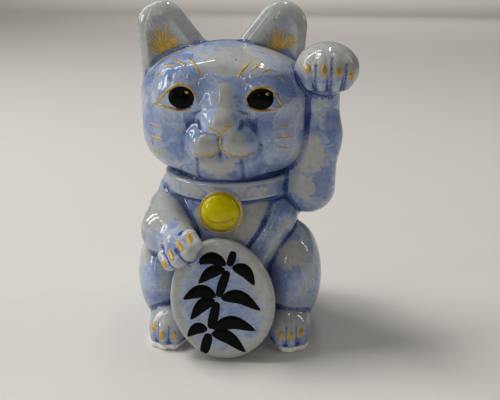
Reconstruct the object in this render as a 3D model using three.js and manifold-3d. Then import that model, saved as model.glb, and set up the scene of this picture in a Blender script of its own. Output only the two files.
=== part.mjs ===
// A beckoning cat in glazed porcelain: hollow slip castings luted together, with one paw raised.
// Millimetres, +Z up. The cat faces -Y, its raised arm is on +X, and the origin is on the floor
// under the middle of the base. Each form is a smooth field, negative inside, that a sphere is
// wrapped on to; neighbours are then cut back so that every piece keeps a gap to the next.
import * as THREE from "three";
import { mergeVertices } from "three/addons/utils/BufferGeometryUtils.js";
import Module from "manifold-3d";

const wasm = await Module();
wasm.setup();

// ---- driving dimensions ----
const HEIGHT = 160;           // floor to ear tips
const EAR_RADIUS = 12;        // roundness of the ear's outline
const GAP = 0.3;              // clearance between touching pieces
const WALL = 4;               // casting wall with its glaze
const BASE_HEIGHT = 2.6;      // unglazed foot plate
const STANDING_LINE = 4;      // height below which the walls are upright
const VENT_RADIUS = 9;        // kiln vent through the foot plate
const VENT_Y = 16;
const NECK_HOLE_RADIUS = 13;  // passage between the two hollow castings
const REACH = 90;             // no form reaches further than this from its own centre
const HEAD_X = -1.1;          // the head sits a little to its right of the base
const EARS_X = -4.3;
const PLAQUE_POINTS = 40;     // facets round the plaque
const SMOOTHNESS = 0.1;       // facets flatter than this are merged after a cut

const KOBAN = {
  centre: [0, -42.5, 28.5],
  lean: THREE.MathUtils.degToRad(10),
  turn: THREE.MathUtils.degToRad(11),
  halfWidth: 24.4,
  halfHeight: 28.6,
  halfThickness: 3.5,
  taper: 0.03,
  edge: 2.6,
};
const COLLAR = { x: -1, y: 2, z: 75.6, radius: 29.2, halfThickness: 2.7, halfHeight: 4.6, edge: 1.5 };
const BELL = { x: -1.3, y: -33.5, z: 67.4, radius: 10, dome: 8.7, depth: 6.2 };
const EYE = { x: 17.2, y: -33.6, z: 120.2, halfWidth: 6.1, halfHeight: 5.5, halfThickness: 2.2 };

// ---- fields ----
const vec = (values) => new THREE.Vector3(...values);

// An ellipsoid, optionally turned in degrees about X, then Y, then Z.
function egg(centre, radii, turn = [0, 0, 0]) {
  const middle = vec(centre);
  const axes = vec(radii);
  const angles = turn.map(THREE.MathUtils.degToRad);
  const undo = new THREE.Quaternion().setFromEuler(new THREE.Euler(...angles, "ZYX")).invert();
  return (point) => {
    const q = point.clone().sub(middle).applyQuaternion(undo).divide(axes);
    const scaled = q.length();
    return (scaled * (scaled - 1)) / (q.divide(axes).length() + 1e-6);
  };
}

// A rounded limb from one ball to another, narrowing evenly between them.
function limb(start, end, startRadius, endRadius) {
  const from = vec(start);
  const line = new THREE.Line3(from, vec(end));
  const nearest = new THREE.Vector3();
  return (point) => {
    const along = line.closestPointToPointParameter(point, true);
    line.at(along, nearest);
    return point.distanceTo(nearest) - THREE.MathUtils.lerp(startRadius, endRadius, along);
  };
}

// A rounded triangular plate, flattened front to back.
function plate(corners, radius, flatten) {
  const squash = ([x, y, z]) => new THREE.Vector3(x, y * flatten, z);
  const triangle = new THREE.Triangle(...corners.map(squash));
  const nearest = new THREE.Vector3();
  return (point) => {
    const q = new THREE.Vector3(point.x, point.y * flatten, point.z);
    triangle.closestPointToPoint(q, nearest);
    return q.distanceTo(nearest) - radius;
  };
}

// Joins fields with a fillet of about the given size.
function blend(size, ...fields) {
  return (point) => fields.map((field) => field(point)).reduce((a, b) => {
    const h = THREE.MathUtils.clamp(0.5 + (0.5 * (b - a)) / size, 0, 1);
    return b * (1 - h) + a * h - size * h * (1 - h);
  });
}

const both = (field) => (point) => field(new THREE.Vector3(Math.abs(point.x), point.y, point.z));

const placed = (field, x, side = 1) => (point) =>
  field(new THREE.Vector3((point.x - x) * side, point.y, point.z));

// ---- solids ----
function solid(geometry) {
  const bare = geometry.clone();
  bare.deleteAttribute("normal");
  bare.deleteAttribute("uv");
  const merged = mergeVertices(bare, 1e-4);
  return new wasm.Manifold(new wasm.Mesh({
    numProp: 3,
    vertProperties: new Float32Array(merged.attributes.position.array),
    triVerts: new Uint32Array(merged.index.array),
  }));
}

// Moves each vertex of a stretched sphere along its ray until the field there equals `grow`.
// The sphere's poles, where its vertices are closest together, point up and down unless turned.
function wrap(field, centre, stretch, around, down, grow = 0, poles = Math.PI / 2) {
  const sphere = new THREE.SphereGeometry(1, around, down).rotateX(poles);
  const position = sphere.attributes.position;
  const middle = vec(centre);
  const ray = new THREE.Vector3();
  const probe = new THREE.Vector3();
  for (let i = 0; i < position.count; i += 1) {
    ray.fromBufferAttribute(position, i).multiply(vec(stretch)).normalize();
    let inside = 0;
    let outside = REACH;
    while (outside - inside > 1e-4) {
      const distance = (inside + outside) / 2;
      probe.copy(ray).multiplyScalar(distance).add(middle);
      if (field(probe) < grow) inside = distance;
      else outside = distance;
    }
    probe.copy(ray).multiplyScalar(inside).add(middle);
    position.setXYZ(i, probe.x, probe.y, probe.z);
  }
  return solid(sphere);
}

// Cuts the cutters out of a solid and keeps its largest body.
function carve(body, ...cutters) {
  const cut = cutters.reduce((rest, cutter) => rest.subtract(cutter), body);
  const bodies = cut.decompose().sort((a, b) => b.volume() - a.volume());
  return bodies[0].simplify(SMOOTHNESS);
}

const block = (low, high) => {
  const size = high.map((value, i) => value - low[i]);
  const centre = high.map((value, i) => (value + low[i]) / 2);
  return solid(new THREE.BoxGeometry(...size).translate(...centre));
};

const rod = (radius, low, high, x, y) =>
  solid(new THREE.CylinderGeometry(radius, radius, high - low, 24)
    .rotateX(Math.PI / 2).translate(x, y, (low + high) / 2));

const floorCut = block([-REACH, -REACH, -REACH], [REACH, REACH, BASE_HEIGHT + GAP]);
const underFloor = block([-REACH, -REACH, -REACH], [REACH, REACH, 0]);

// ---- head ----
const skull = egg([0, 1, 112], [40.5, 34, 30]);
const cheeks = both(egg([17, -5, 98.5], [22.8, 24, 18.5]));
const chin = egg([0, -20, 88.5], [17, 13, 9]);
const temples = both(egg([20, -2, 119], [19.4, 22, 14]));
const bridge = limb([0, -19, 126], [0, -30, 111.5], 12, 8);
const brows = both(egg([17, -19, 129], [12, 11, 7]));
const eyeballs = both(egg([17.2, -26, 120.2], [9, 7.6, 7]));
const muzzle = both(egg([6.7, -31.4, 99.6], [8.2, 7.4, 7.4]));
const nose = egg([0, -37, 109], [6.8, 4.6, 4.3]);
const plainHead = blend(9, skull, temples, cheeks, chin, bridge, brows);
const headField = placed(blend(2.5, plainHead, eyeballs, muzzle, nose), HEAD_X);
const headCentre = [HEAD_X, 0, 107];
const headForm = (around, down, grow) =>
  wrap(headField, headCentre, [1, 1, 1], around, down, grow, 0);

const eyeField = (side) => placed(
  egg([EYE.x, EYE.y, EYE.z], [EYE.halfWidth, EYE.halfThickness, EYE.halfHeight], [0, 0, 16]),
  HEAD_X, side);
const eyeForm = (side, grow) => wrap(
  eyeField(side), [HEAD_X + side * EYE.x, EYE.y, EYE.z], [1, 0.4, 1], 16, 8, grow);
const eyes = [-1, 1].map((side) => eyeForm(side, 0));

const headHollow = headForm(18, 12, -WALL);
const neckHole = rod(NECK_HOLE_RADIUS, 60, 104, HEAD_X, 2);
const head = carve(headForm(40, 26, 0), headHollow, neckHole, eyeForm(-1, GAP), eyeForm(1, GAP));
const headCut = headForm(40, 26, GAP);

// ---- ears ----
const earTip = HEIGHT - EAR_RADIUS;
const earField = plate([[28.4, 2.7, earTip], [26.6, 2, 126], [14.6, 2, 131]], EAR_RADIUS, 2.1);
const cupField = plate([[28.2, -4.9, 144.5], [26.4, -4.9, 126], [18.2, -4.9, 130.4]], 9.4, 2.1);
function makeEar(side) {
  const form = (field, centre) => {
    const [x, y, z] = centre;
    return wrap(placed(field, EARS_X, side), [EARS_X + side * x, y, z], [1, 0.6, 1.3], 20, 14);
  };
  return carve(form(earField, [26, 2.3, 137]), form(cupField, [26, -4.9, 135]), headCut);
}

// ---- body ----
// Below the standing line the walls drop straight down.
const grounded = (field) => (point) =>
  field(new THREE.Vector3(point.x, point.y, Math.max(point.z, STANDING_LINE)));
const torso = egg([0, 7, 34], [35.5, 34, 46]);
const seat = egg([0, 7, 13], [36, 33.5, 20]);
const belly = egg([0, -17, 26], [21, 22.5, 25]);
const chest = egg([0, -9, 54], [25, 20, 22]);
const neck = limb([0, 2, 68], [0, 2, 84], 28, 26);
const shoulders = both(egg([25, 0, 66], [12, 15, 13]));
const bodyField = grounded(blend(7, torso, seat, belly, chest, neck, shoulders));
const bodyCentre = [0, 2, 46];
const bodyForm = (around, down, grow) =>
  wrap(bodyField, bodyCentre, [1, 1, 1.2], around, down, grow);

// An egg-shaped plaque, narrower at the top, leaning back against the belly.
function kobanForm(grow) {
  const outline = Array.from({ length: PLAQUE_POINTS }, (_, i) => {
    const angle = (i / PLAQUE_POINTS) * 2 * Math.PI;
    const width = KOBAN.halfWidth * (1 - KOBAN.taper * Math.sin(angle));
    return new THREE.Vector2(
      (width - KOBAN.edge) * Math.cos(angle),
      (KOBAN.halfHeight - KOBAN.edge) * Math.sin(angle));
  });
  const depth = 2 * (KOBAN.halfThickness - KOBAN.edge);
  const geometry = new THREE.ExtrudeGeometry(new THREE.Shape(outline), {
    depth,
    bevelSize: KOBAN.edge + grow,
    bevelThickness: KOBAN.edge + grow,
    bevelSegments: 3,
  });
  geometry.translate(0, 0, -depth / 2).rotateZ(KOBAN.turn).rotateX(Math.PI / 2 - KOBAN.lean);
  return solid(geometry.translate(...KOBAN.centre));
}
const kobanCut = kobanForm(GAP);
const bodyCut = bodyForm(36, 24, GAP);
const body = carve(bodyForm(36, 24, 0), bodyForm(18, 12, -WALL), floorCut, kobanCut, headCut);

// ---- raised arm and paw ----
const armUpField = blend(8,
  limb([42.6, -7, 122], [42, -6, 98], 9.6, 10.2),
  limb([42, -6, 98], [38, -4, 73], 10.2, 13.6));
function knuckles(middle, spread, depth, angles, radii) {
  return angles.map((degrees) => {
    const angle = THREE.MathUtils.degToRad(degrees);
    const [x, y, z] = middle;
    return egg([x + spread * Math.sin(angle), y - depth * Math.cos(angle), z], radii);
  });
}
const pawUpField = blend(1.6,
  egg([45.5, -14, 131], [14.6, 11.9, 12]),
  ...knuckles([45.5, -14, 130], 11, 8.6, [-42, -14, 15, 46], [4.4, 4.4, 8]));
const pawUpForm = (grow) => wrap(pawUpField, [45.5, -14, 131], [1, 1, 1], 26, 16, grow);
const armUpForm = (grow) => wrap(armUpField, [42, -6, 97], [1, 1, 2.4], 20, 16, grow);
const pawUp = carve(pawUpForm(0), headCut);
const armUp = carve(armUpForm(0), headCut, bodyCut, pawUpForm(GAP));
const armUpCut = armUpForm(GAP);

// ---- lowered arm and paw ----
const armDownField = blend(5,
  limb([-28, -9, 59.5], [-28.5, -21, 54], 12.5, 12),
  limb([-28.5, -21, 54], [-20.5, -35, 53], 12, 9));
const TOES = [
  [[-12, -46, 56.2], 3.7],
  [[-14.6, -46.8, 53], 4.3],
  [[-19.2, -46.5, 49.2], 4.3],
  [[-23.6, -44.5, 46.2], 3.7],
];
const pawDownField = blend(1.5,
  egg([-18.8, -40.5, 53.2], [9, 7.5, 6], [0, 42, 0]),
  ...TOES.map(([[x, y, z], radius]) => limb([x, y, z], [x - 2.6, y + 3, z + 2.6], radius, radius)));
const pawDownForm = (grow) => wrap(pawDownField, [-18.3, -42, 52.5], [1.2, 1, 1], 26, 16, grow);
const armDownForm = (grow) => wrap(armDownField, [-27, -18, 55.5], [1, 1.2, 1], 20, 12, grow);
const pawDown = carve(pawDownForm(0), bodyCut);
const koban = carve(kobanForm(0), pawDownForm(GAP), underFloor);
const armDown = carve(armDownForm(0), bodyCut, pawDownForm(GAP), kobanCut, headCut);

// ---- haunches and feet ----
const haunchField = (side) => placed(grounded(egg([31.4, -8, 28], [14.7, 24.5, 27])), 0, side);
const haunchForm = (side) => wrap(haunchField(side), [side * 31.4, -8, 28], [1, 1.6, 1.7], 22, 14);
const FEET = {
  "-1": { x: -26.7, y: -25.7, toes: [-6.8, -2.1, 3.3] },
  "1": { x: 30, y: -23.7, toes: [-2.7, 2, 6.8] },
};
const FOOT = [11.4, 16, 11];
function footForm(side, grow) {
  const { x, y, toes } = FEET[side];
  const [halfWidth, halfLength] = FOOT;
  const toeForms = toes.map((across) => {
    const forward = halfLength * Math.sqrt(1 - (across / halfWidth) ** 2) - 4.4;
    return egg([x + across, y - forward, 6], [3.2, 5.4, 6.4]);
  });
  const field = grounded(blend(2.6, egg([x, y, 9], FOOT), ...toeForms));
  return wrap(field, [x, y, 8], [1, 1.4, 1.1], 26, 14, grow);
}
function makeFoot(side) {
  return carve(footForm(side, 0), bodyCut, kobanCut, floorCut);
}
function makeHaunch(side) {
  const inTheWay = side < 0
    ? [armDownForm(GAP), pawDownForm(GAP)]
    : [armUpCut];
  return carve(haunchForm(side), bodyCut, kobanCut, floorCut, footForm(side, GAP), ...inTheWay);
}

// ---- tail ----
const tailField = grounded(blend(4,
  limb([18, 33, 10], [6, 38.5, 9], 6.5, 7),
  limb([6, 38.5, 9], [-6, 39, 16], 7, 6)));
const tail = carve(wrap(tailField, [6, 37.5, 10.5], [1.5, 1, 1], 18, 10), bodyCut, floorCut);

// ---- collar and bell ----
function collarBand(grow) {
  const inner = COLLAR.radius - COLLAR.halfThickness - grow;
  const outer = COLLAR.radius + COLLAR.halfThickness + grow;
  const soft = COLLAR.edge;
  const half = COLLAR.halfHeight + grow;
  const section = [
    [inner, -half], [outer - soft, -half], [outer, soft - half],
    [outer, half - soft], [outer - soft, half], [inner, half], [inner, -half],
  ].map(([x, y]) => new THREE.Vector2(x, y));
  return solid(new THREE.LatheGeometry(section, 40).rotateX(Math.PI / 2)
    .translate(COLLAR.x, COLLAR.y, COLLAR.z));
}
// A round boss turned about a line along Y, its profile given as [radius, distance forward].
function boss(profile) {
  const points = profile.map(([radius, forward]) => new THREE.Vector2(radius, forward));
  return solid(new THREE.LatheGeometry(points, 28).rotateX(Math.PI)
    .translate(BELL.x, BELL.y, BELL.z));
}
const bellRing = boss([
  [0, -9], [BELL.radius - 0.6, -9], [BELL.radius, -1.5], [BELL.radius - 0.4, -0.4],
  [BELL.dome + 0.5, 0], [BELL.dome + 0.3, -1.5], [0, -1.5],
]);
const domeProfile = Array.from({ length: 9 }, (_, i) => {
  const angle = (i / 8) * (Math.PI / 2);
  return [BELL.dome * Math.cos(angle), BELL.depth * Math.sin(angle) - 1];
});
domeProfile[8][0] = 0;
const bellDome = boss([[0, -1.5 + GAP], [BELL.dome, -1.5 + GAP], ...domeProfile.slice(1)]);
const collar = carve(collarBand(0), bodyCut, headCut, armUpCut, armDownForm(GAP));
const bellRim = carve(bellRing, bodyCut, collarBand(GAP));

// ---- foot plate ----
const lobe = (x, y, radiusX, radiusY) => solid(
  new THREE.CylinderGeometry(1, 1, BASE_HEIGHT, 28).rotateX(Math.PI / 2)
    .scale(radiusX, radiusY, 1).translate(x, y, BASE_HEIGHT / 2));
const base = [
  lobe(-24.5, -8, 11.5, 18), lobe(24.5, -8, 11.5, 18),
  ...[FEET["-1"], FEET["1"]].map(({ x, y }) => lobe(x, y, 10, 14)),
  lobe(0, -19, 17, 17), lobe(5, 35, 9, 7),
].reduce((whole, part) => whole.add(part), lobe(0, 7, 31.3, 29.2));
const footPlate = carve(base, rod(VENT_RADIUS, -1, BASE_HEIGHT + 1, 0, VENT_Y));

// ---- materials ----
const glaze = (colour) => new THREE.MeshStandardMaterial({ color: colour, roughness: 0.12, metalness: 0 });
const PALE = "#b9c3da";
const BLUE = "#9fb0d6";
const WHITE = "#dcdcda";

const PIECES = [
  ["base", footPlate, new THREE.MeshStandardMaterial({ color: "#e9e4da", roughness: 0.8 })],
  ["body", body, glaze(BLUE)],
  ["head", head, glaze(BLUE)],
  ["left_ear", makeEar(-1), glaze(WHITE)],
  ["right_ear", makeEar(1), glaze(WHITE)],
  ["raised_arm", armUp, glaze(BLUE)],
  ["raised_paw", pawUp, glaze(PALE)],
  ["lowered_arm", armDown, glaze(PALE)],
  ["lowered_paw", pawDown, glaze(PALE)],
  ["left_haunch", makeHaunch(-1), glaze(BLUE)],
  ["right_haunch", makeHaunch(1), glaze(BLUE)],
  ["left_foot", makeFoot(-1), glaze(PALE)],
  ["right_foot", makeFoot(1), glaze(PALE)],
  ["tail", tail, glaze(PALE)],
  ["collar", collar, glaze(BLUE)],
  ["bell_rim", bellRim, new THREE.MeshStandardMaterial({ color: "#b08a3e", roughness: 0.3, metalness: 0.8 })],
  ["bell_dome", bellDome, new THREE.MeshStandardMaterial({ color: "#b9a80c", roughness: 0.1 })],
  ["koban", koban, glaze("#c3cbdc")],
  ["left_eye", eyes[0], new THREE.MeshStandardMaterial({ color: "#0b0b0c", roughness: 0.08 })],
  ["right_eye", eyes[1], new THREE.MeshStandardMaterial({ color: "#0b0b0c", roughness: 0.08 })],
];

const group = new THREE.Group();
for (const [name, piece, material] of PIECES) {
  const { vertProperties, triVerts } = piece.getMesh();
  const geometry = new THREE.BufferGeometry();
  geometry.setAttribute("position", new THREE.BufferAttribute(new Float32Array(vertProperties), 3));
  geometry.setIndex(new THREE.BufferAttribute(new Uint32Array(triVerts), 1));
  geometry.computeVertexNormals();
  const mesh = new THREE.Mesh(geometry, material);
  mesh.name = name;
  group.add(mesh);
}

export default group;
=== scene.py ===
"""A beckoning cat in glazed porcelain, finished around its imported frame.

The forms are smooth fields in millimetres, negative inside, with the driving sizes of the frame,
save for a slimmer nose and slight shifts of the muzzle and lids. Each casting is a sphere of
vertices settled on to its own part of the joined surface, so neighbouring castings meet in one
run of glaze.
"""
import math
import random

import bmesh
import bpy
import numpy as np
from mathutils import Matrix, Vector


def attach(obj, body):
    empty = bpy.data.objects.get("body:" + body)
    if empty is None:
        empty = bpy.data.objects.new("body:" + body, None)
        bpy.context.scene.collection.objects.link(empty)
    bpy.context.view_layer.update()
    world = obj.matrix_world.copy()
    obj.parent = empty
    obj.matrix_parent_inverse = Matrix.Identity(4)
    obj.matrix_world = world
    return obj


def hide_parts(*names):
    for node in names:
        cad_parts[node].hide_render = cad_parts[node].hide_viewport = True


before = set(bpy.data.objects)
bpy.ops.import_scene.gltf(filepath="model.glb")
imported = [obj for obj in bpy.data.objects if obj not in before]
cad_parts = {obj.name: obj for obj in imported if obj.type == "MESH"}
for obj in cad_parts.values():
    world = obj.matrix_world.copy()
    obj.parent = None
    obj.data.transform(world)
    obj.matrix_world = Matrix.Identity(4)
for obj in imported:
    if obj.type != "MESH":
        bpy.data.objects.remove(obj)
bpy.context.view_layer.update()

MM = 0.001

# ---- driving sizes, in millimetres ----
HEIGHT = 160
EAR_RADIUS = 12
BASE_HEIGHT = 2.6
VENT_RADIUS = 9
VENT_Y = 16
HEAD_X = -1.1
EARS_X = -4.3
STANDING_LINE = 4     # the walls drop straight down below it
REACH = 90            # no casting reaches further than this from its centre
NEARBY = 9            # a casting further away than this has no say in another's surface
FILLET = 2.2          # glaze bridging two castings
SEAM = 0.35           # how far a casting keeps its level past the seam before it dives under
OVERLAP = 1.4         # how far it runs on under its neighbour
STEP = 0.012          # each casting in turn lies this much lower at a seam
KOBAN_FLOOR = 0.05    # the plaque comes no nearer to the table than this
FACE_DEPTH = -4       # strokes on the face start from this plane inside the head
LAY_REACH = 60        # how far forward a stroke may travel to find its casting
HAIR_ROOT_WIDTH = 4

# ---- fineness ----
HALVINGS = 18        # steps of bisection when a vertex is settled
COLLAR_STEPS = 240
BASE_SEGMENTS = 360
COARSE = 3            # sphere used only to find which castings are near
COARSE_COLLAR = 24


# ---- fields ----
def vec(values):
    return np.array(values, np.float32)


def turned(points, centre, turns):
    """Points seen from a centre, with each (axis, degrees) turn undone."""
    q = points - vec(centre)
    for axis, degrees in turns:
        angle = math.radians(degrees)
        i, j = {"x": (1, 2), "y": (2, 0), "z": (0, 1)}[axis]
        a, b = q[:, i].copy(), q[:, j].copy()
        q[:, i] = math.cos(angle) * a + math.sin(angle) * b
        q[:, j] = math.cos(angle) * b - math.sin(angle) * a
    return q


def egg(centre, radii, *turns):
    """An ellipsoid, with each (axis, degrees) turn applied."""
    axes = vec(radii)

    def field(points):
        q = turned(points, centre, turns) / axes
        scaled = np.sqrt(np.einsum("ij,ij->i", q, q))
        q /= axes
        return scaled * (scaled - 1) / (np.sqrt(np.einsum("ij,ij->i", q, q)) + 1e-6)
    return field


def limb(start, end, start_radius, end_radius):
    """A round bar whose radius runs from one end's to the other's."""
    a, b = vec(start), vec(end)
    line = b - a

    def field(points):
        q = points - a
        along = np.clip(q @ line / (line @ line), 0, 1)
        q = q - along[:, None] * line
        return np.sqrt(np.einsum("ij,ij->i", q, q)) - (start_radius + (end_radius - start_radius) * along)
    return field


def plate(corners, radius, flatten):
    """A rounded triangular plate, flattened front to back."""
    squash = vec((1, flatten, 1))
    a, b, c = (vec(corner) * squash for corner in corners)
    face = np.cross(b - a, c - a)

    def field(points):
        q = points * squash
        inside = np.ones(len(q), bool)
        nearest = np.full(len(q), np.inf, np.float32)
        for start, end in ((a, b), (b, c), (c, a)):
            edge = end - start
            from_start = q - start
            inside &= from_start @ np.cross(face, edge) > 0
            along = np.clip(from_start @ edge / (edge @ edge), 0, 1)
            off = from_start - along[:, None] * edge
            nearest = np.minimum(nearest, np.einsum("ij,ij->i", off, off))
        height = ((q - a) @ face) ** 2 / (face @ face)
        return np.sqrt(np.where(inside, height, nearest)) - radius
    return field


def soft_min(a, b, size):
    h = np.clip(0.5 + 0.5 * (b - a) / size, 0, 1)
    return b * (1 - h) + a * h - size * h * (1 - h)


def blend(size, *fields):
    def field(points):
        total = fields[0](points)
        for other in fields[1:]:
            total = soft_min(total, other(points), size)
        return total
    return field


def hollowed(size, form, cutter):
    def field(points):
        return -soft_min(-form(points), cutter(points), size)
    return field


def placed(form, x, side=1):
    def field(points):
        q = points.copy()
        q[:, 0] = (q[:, 0] - x) * side
        return form(q)
    return field


def both(form):
    """A form on the right, mirrored to the left."""
    def field(points):
        q = points.copy()
        q[:, 0] = np.abs(q[:, 0])
        return form(q)
    return field


def grounded(form):
    """Below the standing line the walls drop straight down."""
    def field(points):
        q = points.copy()
        q[:, 2] = np.maximum(q[:, 2], STANDING_LINE)
        return form(q)
    return field


# ---- head ----
EYE = {"x": 17.3, "z": 117.3, "inner": 8.3, "outer": 11.3, "upper": 8.4, "lower": 3.3}


def eye_opening(points):
    """The almond between the lids, seen from the front."""
    across = points[:, 0] - EYE["x"]
    up = points[:, 2] - EYE["z"]
    width = np.where(across > 0, EYE["outer"], EYE["inner"])
    height = np.where(up > 0, EYE["upper"], EYE["lower"])
    return (np.hypot(across / width, up / height) - 1) * 5


skull = egg((0, 1, 112), (40.5, 34, 30))
cheeks = both(egg((17, -5, 98.5), (22.8, 24, 18.5)))
chin = egg((0, -20, 88.5), (17, 13, 9))
bridge = limb((0, -19, 126), (0, -30, 111.5), 11.5, 7.5)
brows = both(egg((17, -19.5, 129), (12, 11, 6.5)))
temples = both(egg((20, -2, 119), (19.4, 22, 14)))
lids = both(hollowed(1.2, egg((18, -23.4, 119.4), (12.4, 9.6, 8.8)), eye_opening))
eyeballs = both(egg((17.8, -23.3, 119.2), (12.4, 9, 8.8)))
muzzle = both(egg((6.7, -31.2, 99.6), (8.2, 7.4, 7.4)))
nose = egg((0, -36.4, 109.3), (5.2, 4.4, 4.2))
plain = blend(9, skull, temples, cheeks, chin, bridge, brows)
face = blend(4.5, blend(5.5, blend(5, plain, muzzle), nose), lids)
head = placed(blend(0.6, face, eyeballs), HEAD_X)

# ---- ears ----
ear_out = plate(((28.4, 2.7, HEIGHT - EAR_RADIUS), (26.6, 2, 126), (14.6, 2, 131)), EAR_RADIUS, 2.1)
ear_cup = plate(((28.2, -4.9, 144.5), (26.4, -4.9, 126), (18.2, -4.9, 130.4)), 9.4, 2.1)
ear = hollowed(1.2, ear_out, ear_cup)

# ---- body ----
torso = egg((0, 7, 34), (35.5, 34, 46))
seat = egg((0, 7, 13), (36, 33.5, 20))
belly = egg((0, -17, 26), (21, 22.5, 25))
chest = egg((0, -9, 54), (25, 20, 22))
neck = limb((0, 2, 68), (0, 2, 84), 28, 26)
shoulders = both(egg((25, 0, 66), (12, 15, 13)))
flank = limb((25, -14, 60), (14, -24, 42), 8.5, 7)
body = grounded(blend(2.5, blend(7, torso, seat, belly, chest, neck, shoulders), flank))


# ---- arms and paws ----
def knuckles(middle, spread, depth, angles, radii):
    x, y, z = middle
    return [egg((x + spread * math.sin(math.radians(a)), y - depth * math.cos(math.radians(a)), z), radii)
            for a in angles]


raised_arm = blend(8, limb((42.6, -7, 122), (42, -6, 98), 9.6, 10.2),
                   limb((42, -6, 98), (38, -4, 73), 10.2, 13.6))
raised_paw = blend(1.4, egg((45.5, -14, 131), (14.6, 11.9, 12)),
                   *knuckles((45.5, -14, 130), 11, 8.6, (-42, -14, 15, 46), (4.4, 4.4, 8)))
lowered_arm = blend(5, limb((-28, -9, 59.5), (-28.5, -21, 54), 12.5, 12),
                    limb((-28.5, -21, 54), (-20.5, -35, 53), 12, 9))
TOES = (((-12, -46, 56.2), 3.7), ((-14.6, -46.8, 53), 4.3), ((-19.2, -46.5, 49.2), 4.3),
        ((-23.6, -44.5, 46.2), 3.7))
lowered_paw = blend(1.4, egg((-18.8, -40.5, 53.2), (9, 7.5, 6), ("y", 42)),
                    *[limb((x, y, z), (x - 2.6, y + 3, z + 2.6), r, r) for (x, y, z), r in TOES])

# ---- haunches, feet and tail ----
haunch = grounded(egg((31.4, -8, 28), (14.7, 24.5, 27)))
FEET = {-1: (-26.7, -25.7, (-6.8, -2.1, 3.3)), 1: (30, -23.7, (-2.7, 2, 6.8))}


def foot(side):
    x, y, toes = FEET[side]
    toes = [egg((x + across, y + 4.4 - 16 * math.sqrt(1 - (across / 11.4) ** 2), 6), (3.2, 5.4, 6.4))
            for across in toes]
    return grounded(blend(2.6, egg((x, y, 9), (11.4, 16, 11)), *toes))


tail = grounded(blend(4, limb((18, 33, 10), (6, 38.5, 9), 6.5, 7), limb((6, 38.5, 9), (-6, 39, 16), 7, 6)))

# ---- collar and plaque ----
COLLAR = {"centre": (-1, 2, 75.6), "radius": 29.2, "half_thickness": 2.7, "half_height": 4.6, "edge": 1.8}
KOBAN = {"centre": (0, -42.5, 28.5), "lean": 10, "turn": 11, "half_width": 24.4, "half_height": 28.6,
         "half_thickness": 3.5, "taper": 0.03, "edge": 2.6}


def rounded_section(across, up, half_across, half_up, edge):
    a = np.abs(across) - half_across + edge
    b = np.abs(up) - half_up + edge
    return np.hypot(np.maximum(a, 0), np.maximum(b, 0)) + np.minimum(np.maximum(a, b), 0) - edge


def collar(points):
    q = points - vec(COLLAR["centre"])
    across = np.hypot(q[:, 0], q[:, 1]) - COLLAR["radius"]
    return rounded_section(across, q[:, 2], COLLAR["half_thickness"], COLLAR["half_height"], COLLAR["edge"])


def koban_outline(points):
    """Distance past the plaque's outline in its own plane, and the place across its thickness."""
    q = turned(points, KOBAN["centre"], (("x", -KOBAN["lean"]), ("y", -KOBAN["turn"])))
    half_width = KOBAN["half_width"] * (1 - KOBAN["taper"] * np.clip(q[:, 2] / KOBAN["half_height"], -1, 1))
    scaled = np.hypot(q[:, 0] / half_width, q[:, 2] / KOBAN["half_height"])
    return (scaled - 1) * KOBAN["half_width"], q[:, 1]


def koban(points):
    outline, across = koban_outline(points)
    return rounded_section(np.maximum(outline + KOBAN["half_thickness"], 0), across,
                           KOBAN["half_thickness"], KOBAN["half_thickness"], KOBAN["edge"])


# The castings in order: form, centre to settle from, stretch and fineness of the sphere.
CASTINGS = {
    "head": (head, (HEAD_X, -2, 108), (1, 1, 1), 7),
    "body": (body, (0, 2, 44), (1, 1, 1.2), 7),
    "left_ear": (placed(ear, EARS_X, -1), (EARS_X - 27, 3.5, 134), (1, 0.5, 1.2), 6),
    "right_ear": (placed(ear, EARS_X), (EARS_X + 27, 3.5, 134), (1, 0.5, 1.2), 6),
    "raised_arm": (raised_arm, (42, -6, 97), (1, 1, 2.2), 6),
    "raised_paw": (raised_paw, (45.5, -14, 131), (1, 1, 1), 6),
    "lowered_arm": (lowered_arm, (-28, -19, 55), (1, 1.2, 1), 6),
    "lowered_paw": (lowered_paw, (-18, -42.5, 52.2), (1.2, 1, 1), 6),
    "left_haunch": (placed(haunch, 0, -1), (-36, -8, 26), (1, 1.6, 1.7), 6),
    "right_haunch": (placed(haunch, 0), (36, -8, 26), (1, 1.6, 1.7), 6),
    "left_foot": (foot(-1), (FEET[-1][0], FEET[-1][1] - 2, 8), (1, 1.4, 1.1), 6),
    "right_foot": (foot(1), (FEET[1][0], FEET[1][1] - 2, 8), (1, 1.4, 1.1), 6),
    "tail": (tail, (6, 37.5, 10.5), (1.5, 1, 1), 6),
    "collar": (collar, COLLAR["centre"], None, None),
    "koban": (koban, KOBAN["centre"], (1, 0.3, 1), 7),
}
NAMES = list(CASTINGS)


def joined(fields):
    total = fields[0]
    for other in fields[1:]:
        total = soft_min(total, other, FILLET)
    return total


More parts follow.
